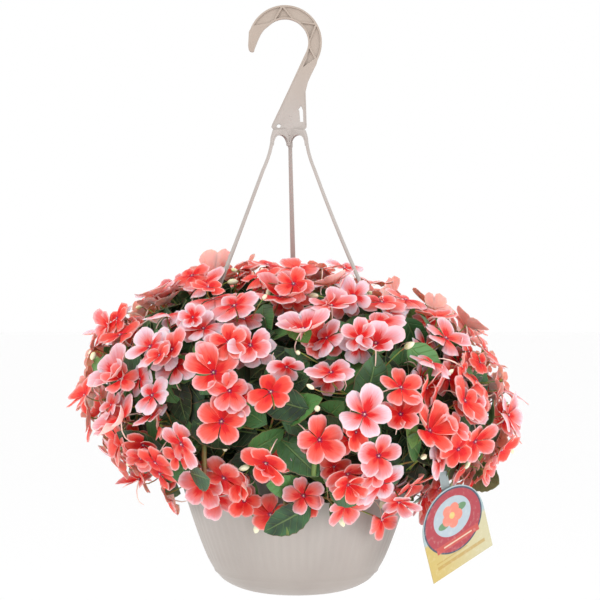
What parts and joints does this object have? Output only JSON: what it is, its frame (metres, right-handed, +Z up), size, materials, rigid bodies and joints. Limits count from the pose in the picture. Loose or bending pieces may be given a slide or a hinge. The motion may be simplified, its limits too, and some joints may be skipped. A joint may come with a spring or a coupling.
{
  "type": "impatiens hanging basket",
  "caption": "Fluted plastic hanging bowl on a one-piece three-armed hook, filled with soil and a full mound of flowering busy lizzie shoots, with a plant label.",
  "frame": {"origin": "centre of the flat face under the bowl", "axes": "+Z up through the bowl's axis to the hook, -Y towards the front of the picture, +X to its right"},
  "size_m": [0.4901, 0.4834, 0.6399],
  "materials": {
    "bowl_plastic": "warm white moulded plastic, satin",
    "hanger_plastic": "warm white moulded plastic, satin, slightly translucent",
    "label_card": "printed plastic-coated card, satin",
    "potting_soil": "dark crumbly peat",
    "foliage": "waxy green leaf",
    "petals": "coral petal, satin, darker at the eye and paler at the margin"
  },
  "bodies": {
    "root": {"blooms_1": "petals", "blooms_10": "petals", "blooms_11": "petals", "blooms_12": "petals", "blooms_13": "petals", "blooms_14": "petals", "blooms_15": "petals", "blooms_16": "petals", "blooms_17": "petals", "blooms_18": "petals", "blooms_19": "petals", "blooms_2": "petals", "blooms_20": "petals", "blooms_21": "petals", "blooms_22": "petals", "blooms_3": "petals", "blooms_4": "petals", "blooms_5": "petals", "blooms_6": "petals", "blooms_7": "petals", "blooms_8": "petals", "blooms_9": "petals", "bowl": "bowl_plastic", "hanger": "hanger_plastic", "label": "label_card", "shoot_1": "foliage", "shoot_10": "foliage", "shoot_11": "foliage", "shoot_12": "foliage", "shoot_13": "foliage", "shoot_14": "foliage", "shoot_15": "foliage", "shoot_16": "foliage", "shoot_17": "foliage", "shoot_18": "foliage", "shoot_19": "foliage", "shoot_2": "foliage", "shoot_20": "foliage", "shoot_21": "foliage", "shoot_22": "foliage", "shoot_3": "foliage", "shoot_4": "foliage", "shoot_5": "foliage", "shoot_6": "foliage", "shoot_7": "foliage", "shoot_8": "foliage", "shoot_9": "foliage", "soil": "potting_soil"}
  },
  "joints": []
}
